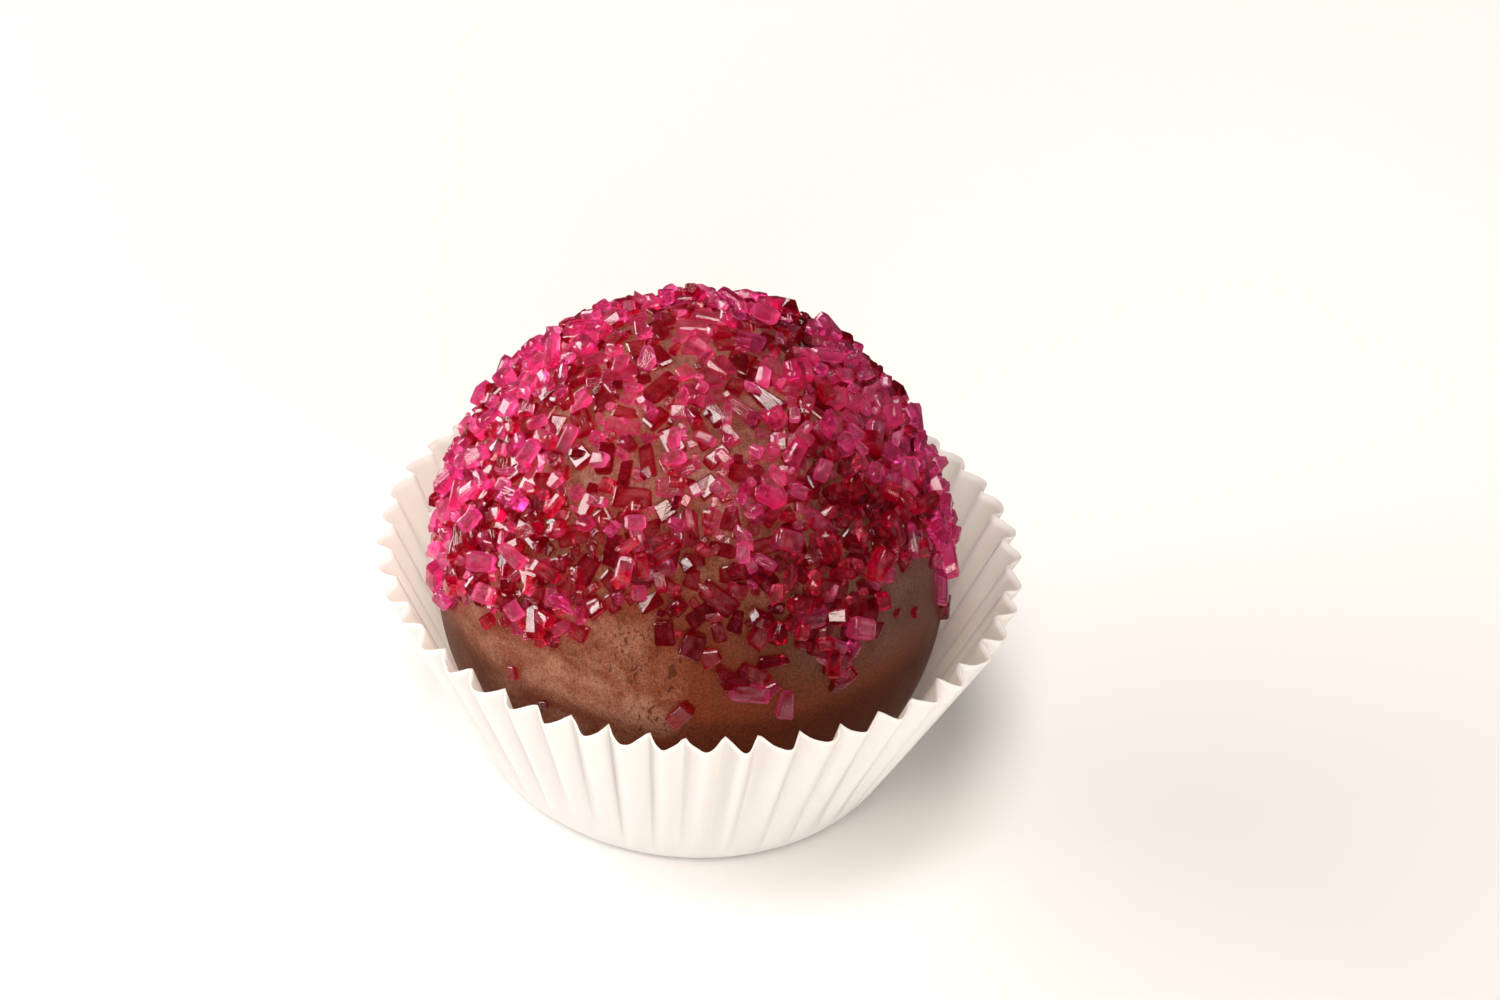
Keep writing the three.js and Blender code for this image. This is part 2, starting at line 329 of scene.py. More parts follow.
def chocolate_material():
    """Milk chocolate: deep and smooth in front, bloom on the left and above, a grey sheen on the right.

    The bloom's pale tone on the left and above also holds painted light, the right is darker with
    painted shade, the grey sheen is painted, and so is the shade in the pits.
    """
    material, build, output = new_material("milk_chocolate")
    place = build.add("ShaderNodeTexCoord").outputs["Object"]
    side, _, height = build.add("ShaderNodeSeparateXYZ", {0: place}).outputs
    drift = build.noise(place, 150.0, 3.0, 0.5, 0.5)
    clouds = build.noise(build.mapped(place, (0.7, 0.7, 1.2), 0.7), 300.0, 4.0, 0.62, 1.2)
    grain = build.noise(place, 8000.0, 2.0, 0.8)
    wander = build.math("MULTIPLY", build.math("SUBTRACT", drift, 0.5), WANDER)
    wandered = build.math("ADD", side, wander)

    # Bloom and painted light on the left and higher up.
    left = build.ramp(wandered, *BLOOM_AND_LIGHT_LEFT, 0.0, 0.70)
    upper = build.ramp(height, *BLOOM_AND_LIGHT_UP, 0.0, 0.85)
    bloom = build.blend(upper, BLOOM_AND_LIGHT_LOW_TONE, BLOOM_AND_LIGHT_UP_TONE)
    bloom = build.blend(build.ramp(height, *CROWN_BLOOM_AND_LIGHT_UP), bloom, CROWN_BLOOM_AND_LIGHT_TONE)

    # Painted shade to the right and higher up on the right.
    right = build.ramp(side, *SHADED_RIGHT)
    bare = build.blend(right, BARE_LEFT_TONE, SHADED_RIGHT_TONE)
    shaded_high_right = build.math("MULTIPLY", right, build.ramp(height, *SHADED_RIGHT_UP))
    bare = build.blend(shaded_high_right, bare, SHADED_RIGHT_UP_TONE)
    tone = build.blend(bloom_and_light_cover(build, place, wander, left, upper, clouds), bare, bloom)

    # Painted sheen on the right.
    sheen = build.ramp(wandered, *SHEEN_RIGHT)
    sheen = build.math("MULTIPLY", sheen, build.ramp(height, *SHEEN_UP))
    sheen = build.math("MULTIPLY", sheen, build.ramp(clouds, 0.35, 0.65, 0.35, 0.85))
    tone = build.blend(sheen, tone, SHEEN_TONE)
    speckle = build.ramp(grain, 0.36, 0.64, 0.64, 1.38)
    tone, _ = build.vector("SCALE", {0: tone, "Scale": speckle})

    # The pits are painted darker than the bare coating: painted shade in them.
    pits = coating_pits(build, place, wander)
    tone = build.blend(build.math("MULTIPLY", pits, 0.85), tone, PIT_SHADE_TONE)
    relief = build.math("SUBTRACT", build.math("MULTIPLY", grain, 0.35), pits)
    bump = build.add("ShaderNodeBump", {"Height": relief, "Strength": 0.55, "Distance": 0.05 * MM})
    roughness = build.ramp(clouds, 0.3, 0.7, 0.38, 0.52)
    coating = build.add(
        "ShaderNodeBsdfPrincipled",
        {"Base Color": tone, "Roughness": roughness, "Normal": bump.outputs[0]},
    )
    coating.inputs["Specular IOR Level"].default_value = 0.09
    build.tree.links.new(coating.outputs[0], output.inputs["Surface"])
    return material


# A unit grain reaches 0.5 from its middle. Its wall's colour starts and is full at these distances.
GRAIN_WALL = (0.32, 0.46)

# A grain's shade times this moves its clouds and streaks, so no two grains have the same.
OWN_PATTERN = (37.0, 53.0, 71.0)


def grain_skin(build, shade, inside, clouds, deep, light, middle):
    """A grain's colour: deep walls, and a clearer middle of its top that holds a pale painted reflection.
    """
    along, across, _ = build.add("ShaderNodeSeparateXYZ", {0: inside}).outputs
    off_middle = build.math("MAXIMUM", build.math("ABSOLUTE", along), build.math("ABSOLUTE", across))
    wall = build.ramp(off_middle, *GRAIN_WALL)
    kept = build.math("MULTIPLY_ADD", wall, -0.75, 1.0)
    skin = build.blend(build.math("MULTIPLY", shade, kept), deep, light)
    # The pale middle: clearer sugar, and its pale tone also paints a veil of the lamps' reflection.
    pale = build.math("SUBTRACT", 1.0, wall)
    pale = build.math("MULTIPLY", pale, build.ramp(clouds, 0.35, 0.60, 0.55, 1.0))
    pale = build.math("MULTIPLY", pale, build.ramp(shade, 0.25, 0.75, 0.05, 1.0))
    return build.blend(pale, skin, middle)


def sugar_material(name, deep, light, middle, glow, least_glow, most_glow, for_lamps, dye, dye_density):
    """Clear dyed sugar. Each grain has its own shade, from 0 for the deepest to 1 for the lightest.

    A grain also glows a little, and lets a tinted share of each lamp's light through.
    """
    material, build, output = new_material(name)
    shade = build.add("ShaderNodeAttribute", attribute_name="shade").outputs["Fac"]
    inside = build.add("ShaderNodeAttribute", attribute_name="inside").outputs["Vector"]
    own, _ = build.vector("MULTIPLY_ADD", {0: shade, 1: OWN_PATTERN, 2: inside})
    clouds = build.noise(own, 2.6, 3.0)
    streaks = build.noise(build.mapped(own, (1.2, 8.0, 8.0)), 1.0, 2.0)
    bump = build.add("ShaderNodeBump", {"Height": streaks, "Strength": 0.35, "Distance": 0.05 * MM})
    tone = grain_skin(build, shade, inside, clouds, deep, light, middle)
    clearness = build.ramp(clouds, 0.35, 0.65, 1.0, 0.94)
    roughness = build.ramp(clouds, 0.42, 0.68, 0.04, 0.12)
    crystal = build.add(
        "ShaderNodeBsdfPrincipled",
        {
            "Base Color": tone,
            "Roughness": roughness,
            "Transmission Weight": clearness,
            "Normal": bump.outputs[0],
        },
    )
    crystal.inputs["IOR"].default_value = 1.54
    crystal.inputs["Coat Weight"].default_value = 0.35
    crystal.inputs["Coat Roughness"].default_value = 0.04
    crystal.inputs["Coat IOR"].default_value = 1.6
    inner_light = build.add("ShaderNodeBsdfTranslucent", {"Color": glow})
    share = build.ramp(shade, 0.0, 1.0, least_glow, most_glow)
    glowing = build.add("ShaderNodeMixShader", {0: share, 1: crystal.outputs[0], 2: inner_light.outputs[0]})
    lamp_ray = build.add("ShaderNodeLightPath").outputs["Is Shadow Ray"]
    let_through = build.add("ShaderNodeBsdfTransparent", {"Color": for_lamps})
    lit = build.add("ShaderNodeMixShader", {0: lamp_ray, 1: glowing.outputs[0], 2: let_through.outputs[0]})
    build.tree.links.new(lit.outputs[0], output.inputs["Surface"])
    depth = build.add("ShaderNodeVolumeAbsorption")
    depth.inputs["Color"].default_value = dye
    depth.inputs["Density"].default_value = dye_density
    build.tree.links.new(depth.outputs[0], output.inputs["Volume"])
    return material


def ruby_sugar():
    return sugar_material(
        "ruby_sugar",
        deep=(0.36, 0.002, 0.03, 1.0),
        light=(0.94, 0.04, 0.21, 1.0),
        # The pale middle, which is partly a painted reflection.
        middle=(0.96, 0.46, 0.49, 1.0),
        glow=(0.89, 0.006, 0.145, 1.0),
        least_glow=0.0,
        most_glow=0.20,
        for_lamps=(0.55, 0.06, 0.12, 1.0),
        dye=(0.90, 0.02, 0.44, 1.0),
        dye_density=850.0,
    )


def pink_sugar():
    return sugar_material(
        "pink_sugar",
        deep=(0.83, 0.12, 0.43, 1.0),
        light=(0.98, 0.69, 0.86, 1.0),
        # The pale middle, which is partly a painted reflection.
        middle=(0.99, 0.93, 0.97, 1.0),
        glow=(0.96, 0.31, 0.54, 1.0),
        least_glow=0.08,
        most_glow=0.38,
        for_lamps=(0.77, 0.23, 0.42, 1.0),
        dye=(0.97, 0.34, 0.75, 1.0),
        dye_density=750.0,
    )


def floor_material():
    """Smooth pale floor, a little warm."""
    material, build, output = new_material("pale_floor")
    floor = build.add(
        "ShaderNodeBsdfPrincipled",
        {"Base Color": (0.86, 0.845, 0.825, 1.0), "Roughness": 0.6},
    )
    build.tree.links.new(floor.outputs[0], output.inputs["Surface"])
    return material


# ---------------------------------------------------------------------------
# Paper case
# ---------------------------------------------------------------------------

FLUTE_STEPS = 12
BASE_ROWS = 4
CORNER_ROWS = 8
WALL_ROWS = 28
ROWS = BASE_ROWS + CORNER_ROWS + WALL_ROWS
WELD = 0.001 * MM

# How much the flutes differ: how far they slide along the rim, in flute widths, and how much they
# swell, as a share of a fold's depth. Noise gives each flute up to half of both, either way.
FLUTE_SLIDE = 0.55
FLUTE_SWELL = 0.9

# The share of a fold that stands inside the plain wall, and how soon the folds rise above the corner.
FOLD_INSIDE = 0.55
FOLD_RISE = 0.7


def flute_relief(build, given, round_share, cosine, sine, wall_share):
    """How far the paper stands out from the plain wall, in flutes that each differ a little."""
    seed_shift = build.math("MULTIPLY", given["Seed"], 3.7)
    ring = build.add("ShaderNodeCombineXYZ", {0: cosine, 1: sine, 2: seed_shift}).outputs[0]
    slide = build.math("SUBTRACT", build.noise(ring, 11.0, 1.0), 0.5)
    swell = build.math("SUBTRACT", build.noise(ring, 6.5, 2.0), 0.5)
    slid = build.math("MULTIPLY", build.math("MULTIPLY", slide, given["Unevenness"]), FLUTE_SLIDE)
    flute = build.math("ADD", build.math("MULTIPLY", round_share, given["Flutes"]), slid)
    wave = build.math("ABSOLUTE", build.math("SINE", build.math("MULTIPLY", flute, math.pi)))
    swelled = build.math("MULTIPLY", swell, given["Unevenness"])
    deepness = build.math("MULTIPLY_ADD", swelled, FLUTE_SWELL, 1.0)
    risen = build.math("MULTIPLY", given["Fold Depth"], build.math("POWER", wall_share, FOLD_RISE))
    depth = build.math("MULTIPLY", risen, deepness)
    return build.math("MULTIPLY", depth, build.math("SUBTRACT", wave, FOLD_INSIDE))


def case_profile(build, given, row, wall_share, out):
    """Radius and height of the case at a row: flat base, round corner, slanted wall and its folds."""
    reach = build.math("SUBTRACT", given["Rim Radius"], given["Base Radius"])
    lean = build.math("ARCSINE", build.math("DIVIDE", reach, given["Wall Slant"]))
    lean_sine, lean_cosine = build.math("SINE", lean), build.math("COSINE", lean)
    upright = build.math("SUBTRACT", math.pi / 2.0, lean)
    half_tangent = build.math("TANGENT", build.math("MULTIPLY", upright, 0.5))
    tangent = build.math("MULTIPLY", given["Corner Radius"], half_tangent)
    flat_radius = build.math("SUBTRACT", given["Base Radius"], tangent)
    flat = build.math("MULTIPLY", flat_radius, build.ramp(row, 0.0, BASE_ROWS))
    bend = build.math("MULTIPLY", upright, build.ramp(row, BASE_ROWS, BASE_ROWS + CORNER_ROWS))
    wall_length = build.math("SUBTRACT", given["Wall Slant"], tangent)
    wall = build.math("MULTIPLY", wall_length, wall_share)
    radius = build.math("MULTIPLY_ADD", given["Corner Radius"], build.math("SINE", bend), flat)
    radius = build.math("MULTIPLY_ADD", wall, lean_sine, radius)
    radius = build.math("MULTIPLY_ADD", out, lean_cosine, radius)
    bend_drop = build.math("SUBTRACT", 1.0, build.math("COSINE", bend))
    height = build.math("MULTIPLY", given["Corner Radius"], bend_drop)
    height = build.math("MULTIPLY_ADD", wall, lean_cosine, height)
    height = build.math("SUBTRACT", height, build.math("MULTIPLY", out, lean_sine))
    return radius, build.math("MULTIPLY_ADD", given["Paper"], 0.5, height)


def case_tree(material):
    """A flat grid bent into base, corner and pleated wall.

    The grid's X runs round the case, and its Y from the centre of the base to the rim.
    """
    build, given = shape_tree(
        "pleated_case",
        {
            "Base Radius": BASE_RADIUS,
            "Wall Slant": WALL_SLANT,
            "Rim Radius": RIM_RADIUS,
            "Corner Radius": CORNER_RADIUS,
            "Fold Depth": FOLD_DEPTH,
            "Flutes": FLUTES,
            "Flute Steps": FLUTE_STEPS,
            "First Fold": FIRST_FOLD,
            "Rim Oval": RIM_OVAL,
            "Paper": PAPER,
            "Unevenness": 1.0,
            "Seed": 7,
        },
    )
    around = build.math("MULTIPLY", given["Flutes"], given["Flute Steps"])
    grid = build.add(
        "GeometryNodeMeshGrid",
        {"Vertices X": build.math("ADD", around, 1.0), "Vertices Y": ROWS + 1},
    ).outputs["Mesh"]
    place = build.add("GeometryNodeInputPosition").outputs[0]
    across, up, _ = build.add("ShaderNodeSeparateXYZ", {0: place}).outputs
    round_share = build.math("ADD", across, 0.5)
    row = build.math("MULTIPLY", build.math("ADD", up, 0.5), float(ROWS))
    wall_share = build.ramp(row, BASE_ROWS + CORNER_ROWS, ROWS)

    turn = build.math("MULTIPLY_ADD", round_share, 2.0 * math.pi, given["First Fold"])
    cosine, sine = build.math("COSINE", turn), build.math("SINE", turn)
    out = flute_relief(build, given, round_share, cosine, sine, wall_share)
    radius, height = case_profile(build, given, row, wall_share, out)
    double = build.math("COSINE", build.math("MULTIPLY", turn, 2.0))
    oval = build.math("MULTIPLY", build.math("MULTIPLY", given["Rim Oval"], wall_share), double)
    radius = build.math("MULTIPLY", radius, build.math("ADD", oval, 1.0))
    bent = build.add(
        "ShaderNodeCombineXYZ",
        {0: build.math("MULTIPLY", radius, cosine), 1: build.math("MULTIPLY", radius, sine), 2: height},
    ).outputs[0]
    placed = build.add("GeometryNodeSetPosition", {"Geometry": grid, "Position": bent}).outputs[0]
    closed = build.add("GeometryNodeMergeByDistance", {"Geometry": placed, "Distance": WELD}).outputs[0]
    end_tree(build, closed, material)
    return build.tree


def make_case(material):
    """The pleated cup: one sheet, with the paper's thickness shared between its two sides."""
    holder = new_object("case_holder", bpy.data.meshes.new("case_holder"))
    mesh = grown(holder, case_tree(material), material, {})
    bpy.data.objects.remove(holder)
    sheet = bmesh.new()
    sheet.from_mesh(mesh)
    bmesh.ops.recalc_face_normals(sheet, faces=sheet.faces)
    sheet.to_mesh(mesh)
    sheet.free()
    smooth(mesh)
    case = new_object("paper_cup", mesh)
    thick = case.modifiers.new("thickness", "SOLIDIFY")
    thick.thickness = PAPER
    thick.offset = 0.0
    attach(case, "root")
    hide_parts("paper_case")


# ---------------------------------------------------------------------------
# Truffle
# ---------------------------------------------------------------------------

BODY_SUBDIVISIONS = 7
FOOT_ROUNDING = 0.5 * MM


def lumpiness(azimuth, sine):
    """Share by which the hand-rolled ball is fuller or slacker in one direction."""
    full_low_right = 0.012 * np.cos(azimuth + 0.6) * np.maximum(0.0, -sine)
    three_sided = 0.006 * np.cos(3.0 * azimuth + 1.1) * (1.0 - sine * sine)
    return 1.0 + full_low_right + three_sided


def body_points(ways):
    """Points of the truffle's surface in the given unit directions, an array of rows."""
    azimuth = np.arctan2(ways[:, 1], ways[:, 0])
    sine = ways[:, 2]
    level = TRUFFLE_RADIUS * lumpiness(azimuth, sine)
    points = ways * np.stack([level, level, np.full_like(level, TRUFFLE_HALF_HEIGHT)], axis=1)
    return points + np.array(TRUFFLE_CENTRE)


def body_normals(points):
    """Outward directions at points of the truffle's surface."""
    away = points - np.array(TRUFFLE_CENTRE)
    away = away / np.array([TRUFFLE_RADIUS**2, TRUFFLE_RADIUS**2, TRUFFLE_HALF_HEIGHT**2])
    return away / np.linalg.norm(away, axis=1, keepdims=True)


def sugar_edge(azimuth):
    """Height of the sugar's lower edge at an azimuth in degrees, smooth between the given places."""
    for (start, low), (end, high) in zip(SUGAR_EDGE, SUGAR_EDGE[1:] + SUGAR_EDGE[:1]):
        span = (end - start) % 360
        along = (azimuth - start) % 360
        if along <= span:
            share = along / span
            share = share * share * (3.0 - 2.0 * share)
            return low + (high - low) * share
    return SUGAR_EDGE[0][1]


def flatten_foot(points):
    """Sets the lowest points on the flat foot, with a rounded edge between the foot and the ball."""
    above = points[:, 2] - FOOT_Z
    points[:, 2] = FOOT_Z + 0.5 * (above + np.sqrt(above * above + FOOT_ROUNDING**2))


def make_chocolate(material):
    """The coated ball on its foot."""
    ball = bmesh.new()
    bmesh.ops.create_icosphere(ball, subdivisions=BODY_SUBDIVISIONS, radius=1.0)
    mesh = bpy.data.meshes.new("chocolate")
    ball.to_mesh(mesh)
    ball.free()
    ways = np.empty(len(mesh.vertices) * 3)
    mesh.vertices.foreach_get("co", ways)
    points = body_points(ways.reshape(-1, 3))
    flatten_foot(points)
    mesh.vertices.foreach_set("co", points.ravel())
    mesh.materials.append(material)
    smooth(mesh)
    chocolate = new_object("chocolate_ball", mesh)
    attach(chocolate, "root")
    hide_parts("truffle")


# ---------------------------------------------------------------------------
# Sugar
# ---------------------------------------------------------------------------

GRAIN_SEED = 11
SMALL_SEED = 23
SHAPE_SEED = 5

# Random places tried on the ball, how many of them one grain may try, the lowest that any sugar
# reaches, and the height over which it thins out above its lower edge.
GROUND_PLACES = 120000
TRIES = 60
LOWEST_SUGAR = 11.0 * MM
EDGE_FADE = 1.0 * MM

# How many grains of each sort are tried, the rest finding no room, and their middle and largest widths.
FLUSH_GRAINS = (1200, 0.72 * MM, 1.2 * MM)
SMALL_GRAINS = (900, 0.46 * MM, 0.60 * MM)
LOOSE_GRAINS = (620, 0.68 * MM, 1.15 * MM)
HEAPED_GRAINS = (420, 0.68 * MM, 1.15 * MM)
NARROWEST_GRAIN = 0.35 * MM
WIDTH_SPREAD = 0.28

# A grain is up to this share longer than wide, and the higher the power, the fewer are long. None is
# longer than this many of its sort's largest widths.
LONG_SHARE = 1.3
LONG_POWER = 1.3
LONGEST_WIDTHS = 1.9

# A grain's thickness as a share of its width, and how much of its own size is kept clear for it.
GRAIN_THICKNESS = (0.65, 0.95)
FLUSH_ROOM = 0.98
LOOSE_ROOM = 1.05

# How far a flush grain stands out of the chocolate, in millimetres, and about how much it is tilted.
# A loose grain's tilt is in degrees, and a heaped grain is lifted over those below it.
FLUSH_PROUD = (0.15, 0.42)
FLUSH_TILT = math.radians(11)
LOOSE_TILT = (5, 40)
HEAP_LIFT = 0.35 * MM

# No two grains as far apart as this can touch.
CLEAR_DISTANCE = 3.5 * MM

# The share of pale grains at the middle of the front, and how much it rises at the sides and on top.
FLUSH_PALE = (0.03, 0.34)
LOOSE_PALE = (0.28, 0.60)
SMALL_PALE = (0.08, 0.38)
# The rise at the sides and on top is painted light, for the outline's grains lit from behind.
LIT_PALE_ASIDE = (8.0 * MM, 15.0 * MM)
LIT_PALE_UP = (22.0 * MM, 26.5 * MM)
# How much a spot of painted shade cuts the share of pale grains.
SHADED_SPOT_SHARE = 0.85

# Where the sugar lies heaped: (azimuth in degrees, height, reach).
HEAPS = (
    (-25, 22.5 * MM, 7.0 * MM),
    (-52, 17.5 * MM, 3.0 * MM),
    (-155, 20.0 * MM, 5.0 * MM),
    (-122, 18.5 * MM, 2.2 * MM),
    (-100, 23.0 * MM, 2.0 * MM),
    (160, 24.0 * MM, 4.0 * MM),
    (70, 21.0 * MM, 8.0 * MM),
)

# Painted shade: where nearly all the grains are dark ones, away from the window, given as the heaps are.
SHADED_SPOTS = ((-43, 21.5 * MM, 3.5 * MM),)

# Where the chocolate shows through the sugar, given as the heaps are.
BARE_SPOTS = (
    (-150, 28.4 * MM, 1.6 * MM),
    (-66, 26.9 * MM, 1.7 * MM),
    (139, 27.6 * MM, 1.2 * MM),
    (40, 27.6 * MM, 1.3 * MM),
    (-99, 24.0 * MM, 1.0 * MM),
    (-84, 22.4 * MM, 1.1 * MM),
    (-73, 20.3 * MM, 1.0 * MM),
    (-128, 24.6 * MM, 1.0 * MM),
)

# Grains alone on the bare chocolate: (azimuth in degrees, height, length, width, turn in degrees).
STRAYS = (
    (-89.4, 14.0 * MM, 1.7 * MM, 0.95 * MM, 50),
    (-94.0, 19.0 * MM, 1.5 * MM, 1.1 * MM, 100),
    (-87.6, 18.5 * MM, 1.4 * MM, 1.3 * MM, 70),
    (-83.3, 17.8 * MM, 1.1 * MM, 1.1 * MM, 20),
    (-80.6, 16.8 * MM, 0.9 * MM, 0.8 * MM, 130),
    (-77.8, 16.3 * MM, 1.5 * MM, 0.9 * MM, 0),
    (-74.8, 15.5 * MM, 2.1 * MM, 1.0 * MM, -12),
    (-73.6, 16.6 * MM, 1.7 * MM, 0.8 * MM, -30),
    (-70.2, 15.5 * MM, 1.1 * MM, 0.9 * MM, 30),
    (-66.6, 14.3 * MM, 1.7 * MM, 1.0 * MM, 80),
    (-69.2, 17.2 * MM, 1.7 * MM, 0.7 * MM, 0),
    (-72.0, 18.9 * MM, 1.6 * MM, 1.0 * MM, 50),
    (-34.6, 16.9 * MM, 0.5 * MM, 0.4 * MM, 30),
    (-28.3, 16.0 * MM, 0.55 * MM, 0.5 * MM, 0),
    (-128.8, 13.4 * MM, 0.8 * MM, 0.5 * MM, 110),
    (-138.0, 15.6 * MM, 1.0 * MM, 0.7 * MM, 60),
    (-120.2, 12.3 * MM, 0.5 * MM, 0.45 * MM, 20),
    (-14.0, 15.2 * MM, 2.3 * MM, 1.1 * MM, 80),
    (-11.0, 13.0 * MM, 1.5 * MM, 0.9 * MM, 100),
)

# The strays in the list above, counted from 0, that are of the pale sugar.
PALE_STRAYS = (6, 8, 9, 17)

# A stray's thickness as a share of its width, how much of that is sunk, and its tilt.
STRAY_THICKNESS = 0.75
STRAY_SINK = 0.2
STRAY_TILT = 0.12


def finish_crystal(block, name, rounded):
    """The crystal's mesh. It keeps each corner's place in the crystal, for its walls and inner lines."""
    bmesh.ops.recalc_face_normals(block, faces=block.faces)
    mesh = bpy.data.meshes.new(name)
    block.to_mesh(mesh)
    block.free()
    corners = np.empty(len(mesh.vertices) * 3)
    mesh.vertices.foreach_get("co", corners)
    mesh.attributes.new("inside", "FLOAT_VECTOR", "POINT").data.foreach_set("vector", corners)
    if rounded:
        smooth(mesh)
    return mesh


CORNER_SHIFT = 0.07
LUMP_CORNERS = 14


def block_mesh(name, draw, chamfer, slant, roof, rounded):
    """One crystal of unit size: a block with cut edges, slanted ends and perhaps a narrowed end."""
    block = bmesh.new()
    bmesh.ops.create_cube(block, size=1.0)
    for corner in block.verts:
        corner.co.x += slant * corner.co.z * draw.uniform(0.7, 1.0)
        if corner.co.x > 0:
            corner.co.y *= 1.0 - roof
            corner.co.z *= 1.0 - 0.6 * roof
        corner.co += Vector(draw.uniform(-CORNER_SHIFT, CORNER_SHIFT, 3))
    bmesh.ops.bevel(block, geom=list(block.edges), offset=chamfer, segments=1, affect="EDGES")
    return finish_crystal(block, name, rounded)


def lump_mesh(name, draw):
    """One round crystal of about unit size with irregular facets."""
    lump = bmesh.new()
    for _ in range(LUMP_CORNERS):
        way = Vector(draw.normal(size=3)).normalized()
        lump.verts.new(way * draw.uniform(0.50, 0.60))
    bmesh.ops.convex_hull(lump, input=list(lump.verts))
    unused = [corner for corner in lump.verts if not corner.link_faces]
    bmesh.ops.delete(lump, geom=unused, context="VERTS")
    return finish_crystal(lump, name, False)


# Each block's chamfer, slant and roof, and whether it is shaded smooth, as a worn grain is.
BLOCK_FORMS = (
    (0.07, 0.0, 0.0, False),
    (0.10, 0.08, 0.0, False),
    (0.08, -0.12, 0.1, False),
    (0.12, 0.15, 0.0, False),
    (0.09, 0.05, 0.4, False),
    (0.15, 0.05, 0.0, False),
    (0.13, -0.10, 0.15, False),
    (0.16, 0.12, 0.3, False),
    (0.14, 0.0, 0.0, True),
)
LUMP_FORMS = 2

# The first blocks are for flush grains and strays, and the other kinds for loose grains.
FLUSH_BLOCKS = 5
FLUSH_KINDS = tuple(range(FLUSH_BLOCKS))
LOOSE_KINDS = tuple(range(FLUSH_BLOCKS, len(BLOCK_FORMS) + LUMP_FORMS))


def crystal_shapes():
    """A collection of crystal shapes for the sugar to pick from, in the order of their kinds."""
    draw = np.random.default_rng(SHAPE_SEED)
    shapes = bpy.data.collections.new("crystal_shapes")
    for kind, form in enumerate(BLOCK_FORMS):
        mesh = block_mesh(f"crystal_{kind:02d}", draw, *form)
        shapes.objects.link(bpy.data.objects.new(mesh.name, mesh))
    for kind in range(len(BLOCK_FORMS), len(BLOCK_FORMS) + LUMP_FORMS):
        mesh = lump_mesh(f"crystal_{kind:02d}", draw)
        shapes.objects.link(bpy.data.objects.new(mesh.name, mesh))
    return shapes


def sugar_tree(shapes, material):
    """Sets one crystal on each point, by the point's kind, turn, size and shade."""
    build, given = shape_tree("sugar_crystals", {"Grain Scale": 1.0, "Waviness": 0.04 * MM, "Seed": 3})

    def named(name, kind):
        return build.add("GeometryNodeInputNamedAttribute", {"Name": name}, data_type=kind).outputs[0]

    picks = build.add(
        "GeometryNodeCollectionInfo",
        {"Collection": shapes, "Separate Children": True, "Reset Children": True},
    ).outputs[0]
    size, _ = build.vector("SCALE", {0: named("size", "FLOAT_VECTOR"), "Scale": given["Grain Scale"]})
    crystals = build.add(
        "GeometryNodeInstanceOnPoints",
        {
            "Points": given["Geometry"],
            "Instance": picks,
            "Pick Instance": True,
            "Instance Index": named("kind", "INT"),
            "Rotation": named("turn", "FLOAT_VECTOR"),
            "Scale": size,
        },
    ).outputs[0]
    real = build.add("GeometryNodeRealizeInstances", {"Geometry": crystals}).outputs[0]
    place = build.add("GeometryNodeInputPosition").outputs[0]
    wobble = build.add(
        "ShaderNodeTexNoise",
        {"Vector": place, "Scale": 1100.0, "Detail": 1.0, "W": given["Seed"]},
        noise_dimensions="4D",
    ).outputs["Color"]
    centred, _ = build.vector("SUBTRACT", {0: wobble, 1: (0.5, 0.5, 0.5)})
    shift, _ = build.vector("SCALE", {0: centred, "Scale": given["Waviness"]})
    uneven = build.add("GeometryNodeSetPosition", {"Geometry": real, "Offset": shift}).outputs[0]
    end_tree(build, uneven, material)
    return build.tree


def points_object(name, grains):
    """A mesh of loose points that carries each grain's kind, turn, size and shade."""
    mesh = bpy.data.meshes.new(name)
    mesh.from_pydata([grain["place"] for grain in grains], [], [])
    for key, kind, field in (
        ("size", "FLOAT_VECTOR", "vector"),
        ("turn", "FLOAT_VECTOR", "vector"),
        ("kind", "INT", "value"),
        ("shade", "FLOAT", "value"),
    ):
        values = np.array([grain[key] for grain in grains]).ravel()
        mesh.attributes.new(key, kind, "POINT").data.foreach_set(field, values)
    return new_object(name, mesh)


def surface_point(azimuth, height):
    """The point of the truffle's surface at an azimuth in degrees and a height."""
    sine = (height - TRUFFLE_CENTRE.z) / TRUFFLE_HALF_HEIGHT
    level = math.sqrt(1.0 - sine * sine)
    around = math.radians(azimuth)
    return body_points(np.array([[level * math.cos(around), level * math.sin(around), sine]]))[0]


def normal_at(point):
    return body_normals(np.array([point]))[0]


def ways_along(normal, spin):
    """Two directions along the surface, the first turned by the spin from level."""
    level = np.cross((0.0, 0.0, 1.0), normal)
    level /= np.linalg.norm(level)
    along = level * math.cos(spin) + np.cross(normal, level) * math.sin(spin)
    return along, np.cross(normal, along)


def near_any(points, spots):
    """How near each point is to a spot: 1 up to half the spot's reach, and 0 from one and a half on."""
    nearness = np.zeros(len(points))
    for azimuth, level, reach in spots:
        apart = np.linalg.norm(points - surface_point(azimuth, level), axis=1)
        nearness = np.maximum(nearness, np.clip(1.5 - apart / reach, 0.0, 1.0))
    return nearness


